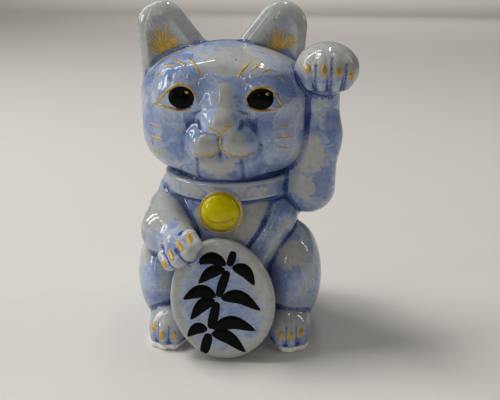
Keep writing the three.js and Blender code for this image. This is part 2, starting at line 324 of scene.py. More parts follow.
def starting_shape(name, fineness=None):
    """A bmesh to settle, with the point inside the casting that each of its vertices moves from."""
    form, centre, stretch, rings = CASTINGS[name]
    bm = bmesh.new()
    if name == "collar":
        steps = COARSE_COLLAR if fineness else COLLAR_STEPS
        x, y, z = centre
        turn = Matrix.Rotation(math.pi / 2, 4, "X")
        place = Matrix.Translation((x + COLLAR["radius"], y, z))
        bmesh.ops.create_circle(bm, segments=steps // 6, radius=1, matrix=place @ turn)
        bmesh.ops.spin(bm, geom=bm.edges[:] + bm.verts[:], cent=centre, axis=(0, 0, 1),
                       angle=math.tau, steps=steps, use_merge=True)
        points = coordinates(bm)
        from_axis = points - vec(centre)
        from_axis[:, 2] = 0
        from_axis *= COLLAR["radius"] / np.linalg.norm(from_axis, axis=1)[:, None]
        origins = vec(centre) + from_axis
    else:
        bmesh.ops.create_icosphere(bm, subdivisions=fineness or (rings), radius=1)
        points = vec(centre) + coordinates(bm) * vec(stretch)
        origins = np.broadcast_to(vec(centre), points.shape)
    return bm, points, origins


def neighbours(name):
    """The castings near enough to this one to shape its surface."""
    bm, points, origins = starting_shape(name, COARSE)
    bm.free()
    points = settle(points, origins, CASTINGS[name][0])
    return [other for other in NAMES if other == name or CASTINGS[other][0](points).min() < NEARBY]


def casting_field(name, near):
    """The joined surface where this casting is nearest, diving under its neighbours past that."""
    mine = near.index(name)
    drop = STEP * NAMES.index(name)
    floor = KOBAN_FLOOR if name == "koban" else BASE_HEIGHT

    def field(points):
        fields = np.stack([CASTINGS[other][0](points) for other in near])
        past = fields[mine] - np.delete(fields, mine, 0).min(0)
        surface = joined(fields) + drop + np.maximum(past - SEAM, 0)
        surface = np.maximum(surface, past - OVERLAP)
        return np.maximum(surface, floor - points[:, 2])
    return field


def joined_field(near):
    return lambda points: joined([CASTINGS[other][0](points) for other in near])


def settle(points, origins, field, reach=REACH):
    """Moves points along the rays from their origins on to the field's surface."""
    rays = points - origins
    rays /= np.linalg.norm(rays, axis=1)[:, None]
    near = np.zeros(len(points), np.float32)
    far = np.full(len(points), reach, np.float32)
    for _ in range(HALVINGS):
        middle = (near + far) / 2
        inside = field(origins + rays * middle[:, None]) < 0
        near = np.where(inside, middle, near)
        far = np.where(inside, far, middle)
    return origins + rays * near[:, None]


def gradient(field, points, step=0.25):
    slopes = []
    for axis in range(3):
        shift = np.zeros(3, np.float32)
        shift[axis] = step
        slopes.append(field(points + shift) - field(points - shift))
    slopes = np.stack(slopes, 1)
    return slopes / (np.linalg.norm(slopes, axis=1)[:, None] + 1e-9)


def curvature(field, points, normals, step):
    """How sharply the surface swells at a scale: about 0 on flats, above it on edges, below in creases."""
    side = np.cross(normals, vec((0.3, 0.2, 0.93)))
    side /= np.linalg.norm(side, axis=1)[:, None] + 1e-9
    along = np.cross(normals, side)
    rise = -4 * field(points)
    for offset in (side, -side, along, -along):
        rise += field(points + offset * step)
    return rise / step


def ramp(values, low, high):
    t = np.clip((values - low) / (high - low), 0, 1)
    return t * t * (3 - 2 * t)


# ---- mesh helpers ----
def coordinates(bm):
    return np.array([v.co[:] for v in bm.verts], np.float32)


def new_piece(name, bm, points, material, slot, *nodes):
    """Turns a bmesh into a piece, its vertices at the given places in millimetres."""
    mesh = bpy.data.meshes.new(name)
    bm.to_mesh(mesh)
    bm.free()
    mesh.vertices.foreach_set("co", (points * MM).ravel())
    mesh.shade_smooth()
    mesh.materials.append(material)
    piece = bpy.data.objects.new(name, mesh)
    bpy.context.scene.collection.objects.link(piece)
    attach(piece, "root")
    if nodes:
        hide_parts(*nodes)
    return piece


def paint(piece, name, values):
    layer = piece.data.attributes.new(name, "FLOAT", "POINT")
    layer.data.foreach_set("value", np.asarray(values, np.float32))


# ---- node helpers ----
class Tree:
    """Adds shader nodes to a material or a group and links their sockets."""

    def __init__(self, tree):
        self.nodes, self.links = tree.nodes, tree.links

    def add(self, kind, inputs=None, **settings):
        node = self.nodes.new("ShaderNode" + kind)
        for name, value in settings.items():
            setattr(node, name, value)
        for name, value in (inputs or {}).items():
            if isinstance(value, bpy.types.NodeSocket):
                self.links.new(value, node.inputs[name])
            else:
                node.inputs[name].default_value = value
        return node

    def math(self, operation, *values):
        return self.add("Math", dict(enumerate(values)), operation=operation).outputs[0]

    def vector(self, operation, *values, scale=None):
        inputs = dict(enumerate(values))
        if scale is not None:
            inputs["Scale"] = scale
        return self.add("VectorMath", inputs, operation=operation).outputs[0]

    def mix(self, factor, first, second):
        node = self.add("Mix", data_type="RGBA")
        for index, value in ((0, factor), (6, first), (7, second)):
            if isinstance(value, bpy.types.NodeSocket):
                self.links.new(value, node.inputs[index])
            elif index:
                node.inputs[index].default_value = (*value, 1)
            else:
                node.inputs[index].default_value = value
        return node.outputs[2]

    def smooth(self, value, low, high):
        return self.add("MapRange", {"Value": value, "From Min": low, "From Max": high},
                        interpolation_type="SMOOTHSTEP").outputs["Result"]

    def attribute(self, name):
        return self.add("Attribute", attribute_name=name).outputs["Fac"]


def new_group(name, inputs, outputs):
    group = bpy.data.node_groups.new(name, "ShaderNodeTree")
    for socket, value in inputs.items():
        entry = group.interface.new_socket(socket, in_out="INPUT", socket_type="NodeSocketFloat")
        entry.default_value = value
    for socket, kind in outputs.items():
        group.interface.new_socket(socket, in_out="OUTPUT", socket_type=kind)
    tree = Tree(group)
    inlet = group.nodes.new("NodeGroupInput").outputs
    outlet = group.nodes.new("NodeGroupOutput").inputs
    return group, tree, inlet, outlet


def new_material(name, **shader_values):
    material = bpy.data.materials.new(name)
    material.use_nodes = True
    tree = Tree(material.node_tree)
    shader = material.node_tree.nodes["Principled BSDF"]
    for socket, value in shader_values.items():
        shader.inputs[socket.replace("_", " ")].default_value = value
    return material, tree, shader


# ---- glaze ----
BARE = (0.35, 0.345, 0.305)
PALE = (0.37, 0.44, 0.57)
LAVENDER = (0.115, 0.18, 0.39)
COBALT = (0.04, 0.07, 0.235)
NAVY = (0.012, 0.022, 0.085)
THIN = (0.415, 0.415, 0.38)
# Lighter edges: glaze breaking thin over them, and a painted highlight.
BREAKING_AND_HIGHLIGHT = (0.50, 0.515, 0.50)


def crystal_group():
    """Fan-edged crystals frozen in the glaze, each a disc of its own size about its own seed."""
    group, tree, inlet, outlet = new_group(
        "Crystals", {"Size": 9.0, "Cover": 0.5, "Shift": 0.0},
        {"Mask": "NodeSocketFloat", "Tone": "NodeSocketFloat", "Outline": "NodeSocketFloat"})
    place = tree.add("TexCoord").outputs["Object"]
    place = tree.vector("SCALE", place, scale=1 / MM)
    place = tree.vector("ADD", place, tree.add("CombineXYZ", {"X": inlet["Shift"]}).outputs[0])
    warp = tree.add("TexNoise", {"Vector": place, "Scale": 0.12, "Detail": 1}).outputs["Color"]
    warp = tree.vector("SCALE", tree.vector("SUBTRACT", warp, (0.5, 0.5, 0.5)), scale=9.0)
    warped = tree.vector("ADD", place, warp)
    rate = tree.math("DIVIDE", 1.0, inlet["Size"])
    seeds = tree.add("TexVoronoi", {"Vector": warped, "Scale": rate})
    outward = tree.vector("NORMALIZE", tree.vector("SUBTRACT", warped, seeds.outputs["Position"]))
    spokes = tree.vector("ADD", tree.vector("SCALE", outward, scale=5.0),
                         tree.vector("SCALE", seeds.outputs["Color"], scale=20.0))
    streak = tree.add("TexNoise", {"Vector": spokes, "Scale": 1.0, "Detail": 4, "Roughness": 0.65})
    streak = streak.outputs["Fac"]
    chance = tree.add("SeparateColor", {"Color": seeds.outputs["Color"]}).outputs
    size = tree.math("ADD", 0.32, tree.math("MULTIPLY", chance["Red"], inlet["Cover"]))
    edge = tree.math("ADD", seeds.outputs["Distance"],
                     tree.math("MULTIPLY", tree.math("SUBTRACT", streak, 0.5), 0.6))
    inside = tree.math("SUBTRACT", size, edge)
    softness = tree.add("TexNoise", {"Vector": place, "Scale": 0.09, "Detail": 1}).outputs["Fac"]
    softness = tree.add("MapRange", {"Value": softness, "From Min": 0.4, "From Max": 0.6,
                                     "To Min": 0.03, "To Max": 0.3}).outputs["Result"]
    tree.links.new(tree.smooth(inside, -0.015, softness), outlet["Mask"])
    fan = tree.math("MULTIPLY", tree.math("SUBTRACT", streak, 0.5), 2.4)
    tree.links.new(tree.math("ADD", chance["Green"], fan), outlet["Tone"])
    rim = tree.math("MULTIPLY", tree.smooth(inside, -0.02, 0.03),
                    tree.math("SUBTRACT", 1.0, tree.smooth(inside, 0.03, 0.16)))
    tree.links.new(rim, outlet["Outline"])
    return group


def glaze_group():
    group, tree, inlet, outlet = new_group(
        "Mottled glaze", {"Pool_and_shade": 0.0, "Wash_and_shade": 0.0, "Bare_and_lit": 0.0, "Break_and_highlight": 0.0},
        {"Color": "NodeSocketColor", "Height": "NodeSocketFloat"})
    crystals = crystal_group()
    layers = []
    for size, cover, shift in ((15.0, 0.58, 0.0), (7.5, 0.40, 37.0)):
        node = tree.add("Group", node_tree=crystals)
        for socket, value in (("Size", size), ("Cover", cover), ("Shift", shift)):
            node.inputs[socket].default_value = value
        layers.append(node.outputs)
    place = tree.vector("SCALE", tree.add("TexCoord").outputs["Object"], scale=1 / MM)
    cloud = tree.add("TexNoise", {"Vector": place, "Scale": 0.35, "Detail": 5}).outputs["Fac"]
    fine = tree.add("TexNoise", {"Vector": place, "Scale": 1.5, "Detail": 4, "Roughness": 0.7})
    fine = fine.outputs["Fac"]

    bare_and_lit = tree.smooth(tree.math("ADD", inlet["Bare_and_lit"], tree.math("SUBTRACT", cloud, 0.5)), 0.38, 0.58)
    ground = tree.mix(tree.smooth(cloud, 0.35, 0.6), BARE, PALE)
    large = tree.mix(layers[0]["Tone"], PALE, LAVENDER)
    color = tree.mix(tree.math("MULTIPLY", layers[0]["Mask"], 0.9), ground, large)
    small = tree.mix(layers[1]["Tone"], LAVENDER, PALE)
    color = tree.mix(tree.math("MULTIPLY", layers[1]["Mask"], 0.6), color, small)
    outline = tree.math("MULTIPLY", tree.math("MAXIMUM", layers[0]["Outline"], layers[1]["Outline"]),
                        tree.math("MULTIPLY", tree.smooth(cloud, 0.4, 0.65), 0.55))
    color = tree.mix(outline, color, LAVENDER)
    worn = tree.mix(tree.smooth(cloud, 0.3, 0.75), BARE, THIN)
    color = tree.mix(tree.math("MULTIPLY", bare_and_lit, 0.88), color, worn)
    # Lavender where glaze gathered in hollows, and painted shade at the shaded places.
    wash_and_shade = tree.math("MULTIPLY", inlet["Wash_and_shade"], tree.smooth(cloud, 0.25, 0.6))
    color = tree.mix(tree.math("MULTIPLY", wash_and_shade, 0.8), color, LAVENDER)
    # Edges lighten: glaze breaking thin, plus a painted highlight.
    color = tree.mix(tree.math("MULTIPLY", inlet["Break_and_highlight"], 0.8), color, BREAKING_AND_HIGHLIGHT)
    pooled = tree.math("ADD", inlet["Pool_and_shade"], tree.math("MULTIPLY", tree.math("SUBTRACT", fine, 0.5), 0.5))
    color = tree.mix(tree.smooth(pooled, 0.15, 0.85), color, COBALT)
    speck = tree.math("MULTIPLY", tree.smooth(fine, 0.51, 0.6), tree.smooth(inlet["Pool_and_shade"], 0.25, 0.6))
    color = tree.mix(speck, color, NAVY)
    tree.links.new(color, outlet["Color"])
    ripple = tree.add("TexNoise", {"Vector": place, "Scale": 0.28, "Detail": 1}).outputs["Fac"]
    height = tree.math("ADD", ripple, tree.math("MULTIPLY", layers[0]["Mask"], 0.06))
    tree.links.new(height, outlet["Height"])
    return group


def glazed_porcelain():
    material, tree, shader = new_material("Glazed porcelain", Roughness=0.05, IOR=1.6)
    glaze = tree.add("Group", node_tree=glaze_group())
    for socket in ("Pool_and_shade", "Wash_and_shade", "Bare_and_lit", "Break_and_highlight"):
        tree.links.new(tree.attribute(socket.lower()), glaze.inputs[socket])
    tree.links.new(glaze.outputs["Color"], shader.inputs["Base Color"])
    bump = tree.add("Bump", {"Height": glaze.outputs["Height"], "Distance": 0.08 * MM, "Strength": 1.0})
    tree.links.new(bump.outputs[0], shader.inputs["Normal"])
    return material


def tinted(name, first, second, scale, bump_height, **shader_values):
    """A finish whose colour wanders between two tones, with a fine surface relief."""
    material, tree, shader = new_material(name, **shader_values)
    place = tree.vector("SCALE", tree.add("TexCoord").outputs["Object"], scale=1 / MM)
    noise = tree.add("TexNoise", {"Vector": place, "Scale": scale, "Detail": 5, "Roughness": 0.6})
    noise = noise.outputs["Fac"]
    tree.links.new(tree.mix(tree.smooth(noise, 0.3, 0.7), first, second), shader.inputs["Base Color"])
    bump = tree.add("Bump", {"Height": noise, "Distance": bump_height * MM})
    tree.links.new(bump.outputs[0], shader.inputs["Normal"])
    return material


GLAZE = glazed_porcelain()
GOLD = tinted("Gilding", (0.68, 0.43, 0.085), (0.46, 0.28, 0.045), 0.9, 0.03,
              Metallic=0.45, Roughness=0.3)
BLACK = tinted("Black enamel", (0.002, 0.003, 0.002), (0.004, 0.005, 0.004), 0.5, 0.03,
               Roughness=0.1, IOR=1.15)
YELLOW = tinted("Yellow glaze", (0.60, 0.50, 0.002), (0.46, 0.40, 0.001), 0.25, 0.05,
                Roughness=0.06, IOR=1.3)
BISQUE = tinted("Unglazed porcelain", (0.84, 0.82, 0.76), (0.66, 0.63, 0.57), 0.8, 0.12, Roughness=0.85)
PALE_GLAZE = tinted("Pale glaze", (0.62, 0.66, 0.70), (0.42, 0.50, 0.62), 0.4, 0.02, Roughness=0.08)

# ---- castings ----
# Places where the glaze ran thin and the porcelain shows, and one patch of painted light: centre and size of
# each, in millimetres.
THIN_AND_LIT_PLACES = (
    ((5, -28, 136), (14, 14, 7)), ((1, -36, 121), (3, 10, 7)), ((0.5, -39, 113), (4, 8, 5)),
    ((0, -42, 109), (5.5, 6, 4.5)),
    ((-6.5, -39, 100), (7, 7, 5)), ((6, -39, 101), (6, 7, 5)), ((-3, -32, 90), (8, 8, 5)),
    ((-34, 0, 148), (22, 16, 24)), ((26, 0, 148), (22, 16, 24)),
    ((46, -18, 137), (18, 16, 10)), ((-31, -20, 62), (13, 16, 10)), ((-12, -48, 56), (6, 8, 6)),
    ((9, -30, 59), (8, 10, 7)), ((18, -28, 66), (8, 10, 5)), ((30, -30, 46), (9, 10, 7)),
    ((-30, -40, 15), (9, 10, 6)), ((32, -38, 15), (10, 11, 8)), ((38, -14, 92), (8, 9, 10)),
    ((36, -12, 76), (7, 9, 6)), ((18, -30, 75.5), (9, 8, 2.6)), ((-17, -30, 75.5), (8, 8, 2.6)),
    # Painted light: a pale patch on the chest left of the bell, lifting the shade there.
    ((-14, -32, 63), (8, 9, 8)),
    ((-42, -22, 44), (6, 12, 8)), ((-4, -44, 53), (13, 12, 6)), ((17, -46, 42), (7, 12, 12)),
    ((-14, 34, 44), (14, 9, 10)), ((-15, 29, 123), (12, 9, 6)), ((22, 27, 104), (7, 9, 10)),
    ((20, 30, 22), (10, 8, 8)),
)
# Places where it gathered, besides the creases of the form, and where shade is painted in: along the collar's
# edges, beside the eyes and muzzle, under the raised paw and arm, between head and arm, on the belly and
# above the feet.
DEEP_AND_SHADE_PLACES = (
    ((0, -28, 80), (34, 12, 2.2)), ((0, -28, 71), (34, 12, 2)),
    ((-10, -33, 127), (5, 8, 6)), ((9, -33, 124), (5, 8, 7)),
    ((-18, -33, 104), (5, 8, 6)), ((16, -36, 103), (5, 8, 7)),
    ((13, -30, 47), (5, 9, 6)), ((22, -30, 30), (5, 10, 14)),
    ((36, -20, 121), (8, 9, 3)), ((48, -20, 120), (11, 9, 3)), ((36, 0, 118), (8, 16, 6)),
    ((-34, -30, 22), (10, 9, 3)), ((34, -30, 22), (10, 9, 3)), ((30, -12, 66), (6, 12, 8)),
)
# Lines of cobalt run into shallow grooves, as (x, z) stops on a casting's front, with their width.
DEEP_LINES = {
    "raised_paw": ((((40.3, 134), (40.1, 127), (41, 120)), 1.1), (((47.2, 137), (47, 129), (47, 120)), 1.2),
                   (((53.7, 134), (53.2, 127), (52.5, 120)), 1.1)),
    "head": ((((-11.8, 93), (-12.2, 87), (-11.6, 80)), 1.3), (((8.2, 93), (8.6, 87), (8.4, 79)), 1.4),
             (((5.2, 136.2), (5.3, 136)), 0.6)),
    "left_foot": ((((-31.2, 13), (-31.4, 3)), 0.6), (((-26, 12), (-26, 3)), 0.6)),
    "right_foot": ((((29.7, 13), (29.6, 3)), 0.6), (((34.3, 13), (34.4, 3)), 0.6)),
}


def gathered(points, places):
    amount = np.zeros(len(points), np.float32)
    for centre, size in places:
        q = (points - vec(centre)) / vec(size)
        amount = np.maximum(amount, 1 - 0.5 * np.einsum("ij,ij->i", q, q))
    return np.clip(amount, 0, 1)


def lined(name, points, normals):
    """How strongly a line of cobalt colours each point."""
    amount = np.zeros(len(points), np.float32)
    for stops, width in DEEP_LINES.get(name, ()):
        for start, end in zip(stops, stops[1:]):
            a, line = np.array(start), np.array(end) - np.array(start)
            q = points[:, (0, 2)] - a
            along = np.clip(q @ line / (line @ line), 0, 1)
            off = np.linalg.norm(q - along[:, None] * line, axis=1)
            amount = np.maximum(amount, np.exp(-(off / width) ** 2))
    return amount * ramp(-normals[:, 1], 0.1, 0.5)


SURFACES = {}


def make_casting(name):
    near = neighbours(name)
    field, whole = casting_field(name, near), joined_field(near)
    SURFACES[name] = field
    bm, points, origins = starting_shape(name)
    points = settle(points, origins, field)
    piece = new_piece("porcelain_" + name, bm, points, GLAZE, "plaque" if name == "koban" else "glaze", name)
    normals = gradient(whole, points)
    crease, groove, hollow = (curvature(whole, points, normals, step) for step in (1.0, 2.2, 5.0))
    # Deeper glaze and painted shade at the listed places.
    deep_and_shade = gathered(points, DEEP_AND_SHADE_PLACES)
    pool_and_shade = np.maximum(ramp(-crease, 0.005, 0.2), 0.9 * ramp(-groove, 0.05, 0.42))
    bare_and_lit = gathered(points, THIN_AND_LIT_PLACES)
    # Lighter along sharp edges: the glaze breaking thin, and a painted highlight.
    edge = ramp(crease, 0.2, 0.6)
    if name == "koban":
        outline = koban_outline(points)[0]
        bare_and_lit = np.maximum(bare_and_lit, ramp(outline, -6, -3))
        deep_and_shade = np.maximum(deep_and_shade, 0.6 * ramp(-outline, 5, 11))
        edge = np.zeros(len(points))
    # Cobalt pooled in the creases, plus a little painted shade from the shaded places.
    pool_and_shade = np.maximum(pool_and_shade * (1 - 0.75 * bare_and_lit), 0.6 * lined(name, points, normals)) + 0.1 * deep_and_shade
    paint(piece, "pool_and_shade", np.clip(pool_and_shade, 0, 0.85))
    # Lavender gathered in broad hollows, and painted shade at the shaded places.
    paint(piece, "wash_and_shade", np.maximum(0.8 * ramp(-hollow, 0, 0.7), 0.7 * deep_and_shade))
    paint(piece, "break_and_highlight", edge)
    paint(piece, "bare_and_lit", bare_and_lit)
    piece.data.normals_split_custom_set_from_vertices(normals.tolist())


for casting in NAMES:
    make_casting(casting)


# ---- brushwork ----
SQUARENESS = 0.7      # 1 is a round section, and less is flatter on top
IRIS, GLINT = (5.9, 5.1), (0.9, 0.65)


def curve_through(stops, along):
    """Points at shares of the way along a smooth curve through the stops."""
    stops = np.array(stops, np.float32)
    padded = np.vstack([2 * stops[0] - stops[1], stops, 2 * stops[-1] - stops[-2]])
    place = np.clip(along, 0, 1) * (len(stops) - 1)
    first = np.minimum(place.astype(int), len(stops) - 2)
    t = (place - first)[:, None]
    p0, p1, p2, p3 = (padded[first + i] for i in range(4))
    return 0.5 * (2 * p1 + (p2 - p0) * t + (2 * p0 - 5 * p1 + 4 * p2 - p3) * t**2
                  + (3 * p1 - p0 - 3 * p2 + p3) * t**3)


def lay_on(name, surface, bm, flat, heights, material, slot, depth, lean=0.0, nodes=()):
    """Moves a bmesh's vertices, given as (x, z) and height, on to a casting's front."""
    origins = np.stack([flat[:, 0], depth + lean * flat[:, 1], flat[:, 1]], 1).astype(np.float32)
    field = SURFACES[surface]
    points = settle(origins + vec((0, -1, 0)), origins, field, LAY_REACH)
    points += gradient(field, points) * heights[:, None]
    new_piece(name, bm, points, material, slot, *nodes)


def add_ball(whole, around, down):
    """Adds a unit sphere to a bmesh and gives its vertices' places."""
    bm = bmesh.new()
    bmesh.ops.create_uvsphere(bm, u_segments=around, v_segments=down, radius=1)
    places = coordinates(bm)
    mesh = bpy.data.meshes.new("ball")
    bm.to_mesh(mesh)
    bm.free()
    whole.from_mesh(mesh)
    bpy.data.meshes.remove(mesh)
    return places


def brushwork(name, surface, strokes, material=GOLD, slot="gilding", depth=0.0, lean=0.0,
              thickness=0.2, fullness=0.6, swell=1.0):
    """Lens-shaped strokes, each given as its (x, z) stops and its widest width.

    A low fullness gives blunt ends, and a swell above 1 puts the widest part nearer the last stop.
    """
    whole = bmesh.new()
    flat, heights = [], []
    for stops, width in strokes:
        ball = add_ball(whole, 12, 12 + 4 * len(stops))
        along = np.arccos(np.clip(ball[:, 2], -1, 1)) / math.pi
        ring = np.hypot(ball[:, 0], ball[:, 1]) + 1e-6
        across, up = ball[:, 0] / ring, ball[:, 1] / ring
        profile = np.sin(math.pi * along**swell).clip(0, 1) ** fullness
        ahead = curve_through(stops, along + 0.02) - curve_through(stops, along - 0.02)
        ahead /= np.linalg.norm(ahead, axis=1)[:, None] + 1e-9
        sideways = np.stack([-ahead[:, 1], ahead[:, 0]], 1)
        flat.append(curve_through(stops, along) + sideways * (across * profile * width / 2)[:, None])
        heights.append(np.sign(up) * np.abs(up) ** SQUARENESS * np.minimum(profile * 1.5, 1) * thickness)
    lay_on(name, surface, whole, np.vstack(flat), np.concatenate(heights), material, slot, depth, lean)


def dab(name, centre, half_sizes, material, slot, thickness, *nodes):
    """A round patch on the face, about its (x, z) centre."""
    whole = bmesh.new()
    ball = add_ball(whole, 48, 24)
    flat = np.array(centre) + ball[:, :2] * np.array(half_sizes)
    heights = np.sign(ball[:, 2]) * np.abs(ball[:, 2]) ** SQUARENESS * thickness
    lay_on(name, "head", whole, flat, heights, material, slot, FACE_DEPTH, nodes=nodes)


LIDS = (
    (((-34, 115), (-30, 117), (-25.7, 122), (-21.7, 125), (-18.5, 126), (-15, 124.8), (-12.3, 121.8),
      (-10.5, 117)), 1.08),
    (((9, 117.8), (10.6, 121.3), (13.2, 124), (17, 125.2), (20.6, 124.3), (23.2, 122), (25.3, 117.7),
      (28.4, 115)), 1.08),
    (((-32, 115.5), (-28.3, 116), (-24.3, 115), (-20.4, 114.2), (-16.6, 114.4), (-13.4, 115.5)), 0.81),
    (((10.2, 117), (13.2, 115.5), (17, 114.5), (20.6, 114.7), (24, 115.6), (26, 116)), 0.94),
)
BROWS = (
    (((-17.3, 136.3), (-14.7, 135.4), (-12, 133.5), (-10.6, 131), (-9.2, 129)), 0.94),
    (((-24, 135.2), (-19.6, 134.8), (-15.6, 133)), 0.81),
    (((-27.8, 132.2), (-24.2, 133.4), (-21.2, 133.3)), 0.68),
    (((-34, 126.6), (-29.3, 129.5), (-26.4, 130.5)), 0.47),
    (((13, 136), (10.3, 134), (7.8, 131.3), (6.2, 128)), 0.94),
    (((17.2, 134), (14.7, 133.7), (11.8, 131.4)), 0.68),
    (((21.7, 132), (19, 132.2), (16.6, 131)), 0.68),
    (((23.5, 129), (25.2, 128.4), (26.5, 126.4)), 0.41),
)
WHISKERS = (
    (((-37.3, 106.3), (-32.4, 105.9), (-28.6, 105)), 0.61),
    (((-37.6, 100.6), (-32.6, 100.1), (-27.6, 99.9)), 0.81),
    (((-34.3, 92.4), (-30.5, 93), (-27.7, 94)), 0.68),
    (((24.6, 106.7), (27, 106.9), (29.4, 106.8)), 0.61),
    (((23.4, 101.6), (27.3, 101.5), (31.3, 101.7)), 0.68),
    (((23, 97.9), (27, 96.8), (30.5, 96)), 0.81),
)
MOUTH = (
    (((-5.6, 109), (-4.2, 108), (-2.4, 107.2), (-0.5, 105.7)), 0.94),
    (((5.2, 109), (4, 108.4), (2.3, 109), (1.9, 107.7), (-0.3, 105.5)), 0.94),
    (((-0.4, 105.9), (-0.9, 101.6), (-0.9, 97.8)), 1.15),
    (((-0.7, 98.2), (-2.7, 96.3), (-5.3, 95.6), (-8.8, 95), (-11.6, 95.2), (-13.4, 96.5)), 0.88),
    (((-1.1, 98.2), (1.8, 96.6), (5.4, 95.4), (9, 94.8), (11.4, 95.5), (13, 96.7)), 1.08),
)
brushwork("gold_lids", "head", LIDS, depth=FACE_DEPTH, fullness=0.4)
brushwork("gold_brows", "head", BROWS, depth=FACE_DEPTH, fullness=0.7)
brushwork("gold_whiskers", "head", WHISKERS, depth=FACE_DEPTH, fullness=0.6)
brushwork("gold_nose_and_mouth", "head", MOUTH, depth=FACE_DEPTH, fullness=0.35)
for node, iris_at, glint_at in (("left_eye", (-18.5, 120), (-16, 122.4)),
                                ("right_eye", (16.4, 120), (19.4, 122.1))):
    dab("enamel_" + node, iris_at, IRIS, BLACK, "black_enamel", 0.3, node)
    dab("gold_glint_" + node, glint_at, GLINT, GOLD, "gilding", 0.42)


def ear_hairs(root, tips, count, seed):
    """A fan of fine hairs from a short root line to a curve through the tips."""
    chance = random.Random(seed)
    hairs = []
    for index in range(count):
        share = (index + chance.uniform(-0.3, 0.3)) / (count - 1)
        tip = curve_through(tips, np.array([share]))[0]
        start = np.array(root) + np.array((share - 0.5, 0.6 * share - 0.3)) * HAIR_ROOT_WIDTH
        tip = start + (tip - start) * chance.uniform(0.72, 1.08)
        bend = np.array((chance.uniform(-0.5, 0.5), chance.uniform(-0.5, 0.5)))
        hairs.append(((tuple(start), tuple((start + tip) / 2 + bend), tuple(tip)), chance.uniform(0.45, 0.7)))
    return hairs


LEFT_FAN = ((-40, 137.5), (-39.6, 144), (-36.5, 149), (-32, 151.5), (-27.6, 149), (-24, 145.5), (-21.5, 142))
RIGHT_FAN = ((15, 140), (15.8, 144.5), (18.6, 148.5), (22.6, 151.5), (26.6, 149), (30.2, 145.5), (32, 141.5))
brushwork("gold_left_ear_hair", "left_ear", ear_hairs((-31, 136.5), LEFT_FAN, 34, 3), depth=3,
          fullness=0.6, swell=0.6, thickness=0.12)
brushwork("gold_right_ear_hair", "right_ear", ear_hairs((24, 137.5), RIGHT_FAN, 32, 8), depth=3,
          fullness=0.6, swell=0.6, thickness=0.12)

RAISED_CLAWS = (((36.9, 134.2), (36.9, 130.2)), ((43.9, 134.3), (43.9, 130)), ((50.4, 133.3), (50.3, 129.2)),
                ((56.4, 131.2), (56, 127.4)))
LOWERED_CLAWS = (((-15.2, 62), (-12.8, 58)), ((-19.8, 58), (-17, 54.2)), ((-23.7, 53.7), (-20.8, 50)),
                 ((-27.4, 48.6), (-24.9, 45.4)))
LEFT_FOOT_CLAWS = (((-33.8, 12.6), (-33.6, 8.2)), ((-29.6, 10.4), (-29.3, 5.6)), ((-23.3, 9.9), (-23.2, 5.7)))
RIGHT_FOOT_CLAWS = (((27.3, 11.2), (27.1, 7)), ((32, 11), (31.9, 6.9)), ((36.8, 11.6), (36.5, 7.8)))
CLAW_WIDTH = 2.6
for paw, claws, depth in (("raised_paw", RAISED_CLAWS, -14), ("lowered_paw", LOWERED_CLAWS, -41),
                          ("left_foot", LEFT_FOOT_CLAWS, -30), ("right_foot", RIGHT_FOOT_CLAWS, -28)):
    brushwork("gold_claws_" + paw, paw, [(claw, CLAW_WIDTH) for claw in claws], depth=depth,
              thickness=0.25, fullness=0.55, swell=1.15)

# ---- bell ----
BELL = {"x": -1.3, "y": -33.5, "z": 67.4, "radius": 10}
RIM_LINE = 0.55       # half the width of the gold line round the rim
SLOT = (((-8.2, 66.4), (-5.2, 64.6), (-1.4, 63.9), (2.2, 64.6), (5, 66.2)), 1.1)
DOME = {"centre": (-1.7, -32.5, 67.7), "radii": (9.1, 6.3, 9.0)}


def stretched(centre, radii, segments=64):
    bm = bmesh.new()
    bmesh.ops.create_uvsphere(bm, u_segments=segments, v_segments=segments // 2, radius=1)
    return bm, vec(centre) + coordinates(bm) * vec(radii)


bm, points = stretched((BELL["x"], BELL["y"] + 3, BELL["z"]), (BELL["radius"], 3.6, BELL["radius"]))
new_piece("porcelain_bell_seat", bm, points, PALE_GLAZE, "glaze", "bell_rim")
SURFACES["bell_dome"] = egg(DOME["centre"], DOME["radii"])
bm, points = stretched(DOME["centre"], DOME["radii"])
new_piece("yellow_bell", bm, points, YELLOW, "yellow_glaze", "bell_dome")
bm = bmesh.new()
turn = Matrix.Rotation(math.pi / 2, 4, "Y")
place = Matrix.Translation((0, 0, BELL["radius"] - 0.3))
bmesh.ops.create_circle(bm, segments=16, radius=RIM_LINE, matrix=place @ turn)
bmesh.ops.spin(bm, geom=bm.edges[:] + bm.verts[:], cent=(0, 0, 0), axis=(0, 1, 0),
               angle=math.tau, steps=128, use_merge=True)
bmesh.ops.recalc_face_normals(bm, faces=bm.faces[:])
new_piece("gold_bell_rim", bm, coordinates(bm) + vec((BELL["x"], BELL["y"], BELL["z"])), GOLD, "gilding")
brushwork("gold_bell_slot", "bell_dome", (SLOT,), depth=-32, thickness=0.4)

